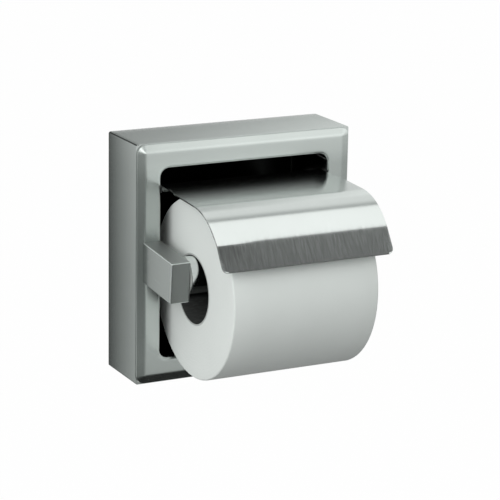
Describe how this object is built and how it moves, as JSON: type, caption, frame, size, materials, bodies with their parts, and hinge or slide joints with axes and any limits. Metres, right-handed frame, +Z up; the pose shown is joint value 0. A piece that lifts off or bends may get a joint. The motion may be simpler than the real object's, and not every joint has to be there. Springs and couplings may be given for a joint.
{
  "type": "hooded toilet paper holder",
  "caption": "Wall-hung toilet paper holder: recess in a surface-mounting box, hinged hood, posts and a sprung roller with a roll of paper.",
  "frame": {"origin": "middle of the recess's back face, which lies on the wall", "axes": "+X to the right seen from the room, +Y into the wall, +Z up"},
  "size_m": [0.159, 0.1404, 0.165],
  "materials": {
    "satin_steel": "satin brushed stainless steel",
    "bright_steel": "polished steel",
    "zinc": "zinc plated steel",
    "nylon": "moulded nylon",
    "board": "grey board",
    "tissue": "soft embossed paper"
  },
  "bodies": {
    "frame": {"surface_collar": "satin_steel", "recess_pan": "satin_steel", "left_post": "satin_steel", "right_post": "satin_steel", "left_backing_plate": "zinc", "right_backing_plate": "zinc", "post_screws": "zinc", "lock_washers": "zinc", "left_post_bush": "nylon", "right_post_bush": "nylon", "hinge_rod": "bright_steel", "hinge_bushes": "nylon", "push_rings": "zinc"},
    "hood": {"hood": "satin_steel"},
    "roller": {"roller_outer_tube": "bright_steel", "roller_outer_cap": "nylon", "roller_spring": "zinc"},
    "plunger": {"roller_inner_tube": "bright_steel", "roller_inner_cap": "nylon"},
    "roll": {"cardboard_core": "board", "paper_roll": "tissue"}
  },
  "joints": [
    {"name": "hood_pivot", "type": "hinge", "parent": "frame", "child": "hood", "pos_m": [0, -0.0435, 0.05095], "axis": [-1, 0, 0], "range_deg": [0, 67]},
    {"name": "roller_spin", "type": "hinge", "parent": "frame", "child": "roller", "pos_m": [0, -0.0775, 0], "axis": [1, 0, 0], "continuous": true},
    {"name": "plunger_slide", "type": "slide", "parent": "roller", "child": "plunger", "axis": [-1, 0, 0], "range_m": [0, 0.006], "stiffness_N_per_m": 500, "springref_m": -0.008, "deforming": ["roller_spring"]},
    {"name": "roll_spin", "type": "hinge", "parent": "frame", "child": "roll", "pos_m": [0, -0.0775, -0.0102], "axis": [1, 0, 0], "continuous": true}
  ]
}
